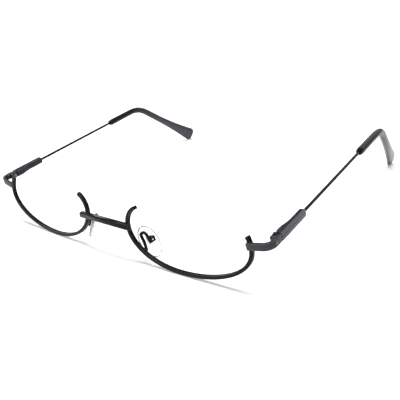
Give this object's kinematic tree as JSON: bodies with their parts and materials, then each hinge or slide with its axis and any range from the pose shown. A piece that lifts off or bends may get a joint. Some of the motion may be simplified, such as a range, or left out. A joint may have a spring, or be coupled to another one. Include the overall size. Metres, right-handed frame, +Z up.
{
  "type": "eyeglasses frame",
  "caption": "Half-frame eyeglasses: two under-rims with a lens groove, straight bridge bar, clear nose pads on wire arms, sprung hinges, slim temples and curved tips.",
  "frame": {"origin": "on the resting plane, under the middle of the frame's footprint, with the temples open", "axes": "+X toward the wearer's left, +Y back along the open temples, +Z up"},
  "size_m": [0.1432, 0.1336, 0.0293],
  "materials": {
    "black_metal": "gloss black plating on wire",
    "gunmetal": "satin dark gunmetal",
    "polished_steel": "polished small hinge parts",
    "charcoal_plastic": "satin charcoal acetate",
    "clear_plastic": "clear soft nose pad"
  },
  "bodies": {
    "front": {"left_rim": "black_metal", "right_rim": "black_metal", "bridge": "black_metal", "left_end_piece": "gunmetal", "right_end_piece": "gunmetal", "left_front_hinge": "gunmetal", "right_front_hinge": "gunmetal", "left_hinge_rivet": "gunmetal", "right_hinge_rivet": "gunmetal", "left_hinge_screw": "gunmetal", "right_hinge_screw": "gunmetal", "left_pad_arm": "black_metal", "right_pad_arm": "black_metal", "left_pad_box": "black_metal", "right_pad_box": "black_metal", "left_pad_screw": "black_metal", "right_pad_screw": "black_metal"},
    "left_knuckle": {"left_hinge_knuckle": "polished_steel", "left_spring_nut": "polished_steel"},
    "left_temple": {"left_temple_bar": "gunmetal", "left_temple_wire": "black_metal", "left_temple_tip": "charcoal_plastic", "left_spring_bush": "polished_steel", "left_hinge_spring": "polished_steel"},
    "left_pad": {"left_nose_pad": "clear_plastic"},
    "right_knuckle": {"right_hinge_knuckle": "polished_steel", "right_spring_nut": "polished_steel"},
    "right_temple": {"right_temple_bar": "gunmetal", "right_temple_wire": "black_metal", "right_temple_tip": "charcoal_plastic", "right_spring_bush": "polished_steel", "right_hinge_spring": "polished_steel"},
    "right_pad": {"right_nose_pad": "clear_plastic"}
  },
  "joints": [
    {"name": "left_fold", "type": "hinge", "parent": "front", "child": "left_knuckle", "pos_m": [0.0694, -0.05705, 0.01914], "axis": [-0.152, -0.1098, 0.9823], "range_deg": [-8, 88]},
    {"name": "left_spring_slide", "type": "slide", "parent": "left_knuckle", "child": "left_temple", "axis": [-0.0087, 0.9939, 0.1097], "range_m": [0, 0.0008], "stiffness_N_per_m": 3000, "springref_m": -0.0005, "deforming": ["left_hinge_spring"]},
    {"name": "left_pad_rock", "type": "hinge", "parent": "front", "child": "left_pad", "pos_m": [0.017, -0.05985, 0.00739], "axis": [0.3624, 0.8889, 0.2801], "range_deg": [-10, 10]},
    {"name": "right_fold", "type": "hinge", "parent": "front", "child": "right_knuckle", "pos_m": [-0.0694, -0.05705, 0.01914], "axis": [-0.152, 0.1098, -0.9823], "range_deg": [-8, 82]},
    {"name": "right_spring_slide", "type": "slide", "parent": "right_knuckle", "child": "right_temple", "axis": [0.0087, 0.9939, 0.1097], "range_m": [0, 0.0008], "stiffness_N_per_m": 3000, "springref_m": -0.0005, "deforming": ["right_hinge_spring"]},
    {"name": "right_pad_rock", "type": "hinge", "parent": "front", "child": "right_pad", "pos_m": [-0.017, -0.05985, 0.00739], "axis": [0.3624, -0.8889, -0.2801], "range_deg": [-10, 10]}
  ]
}
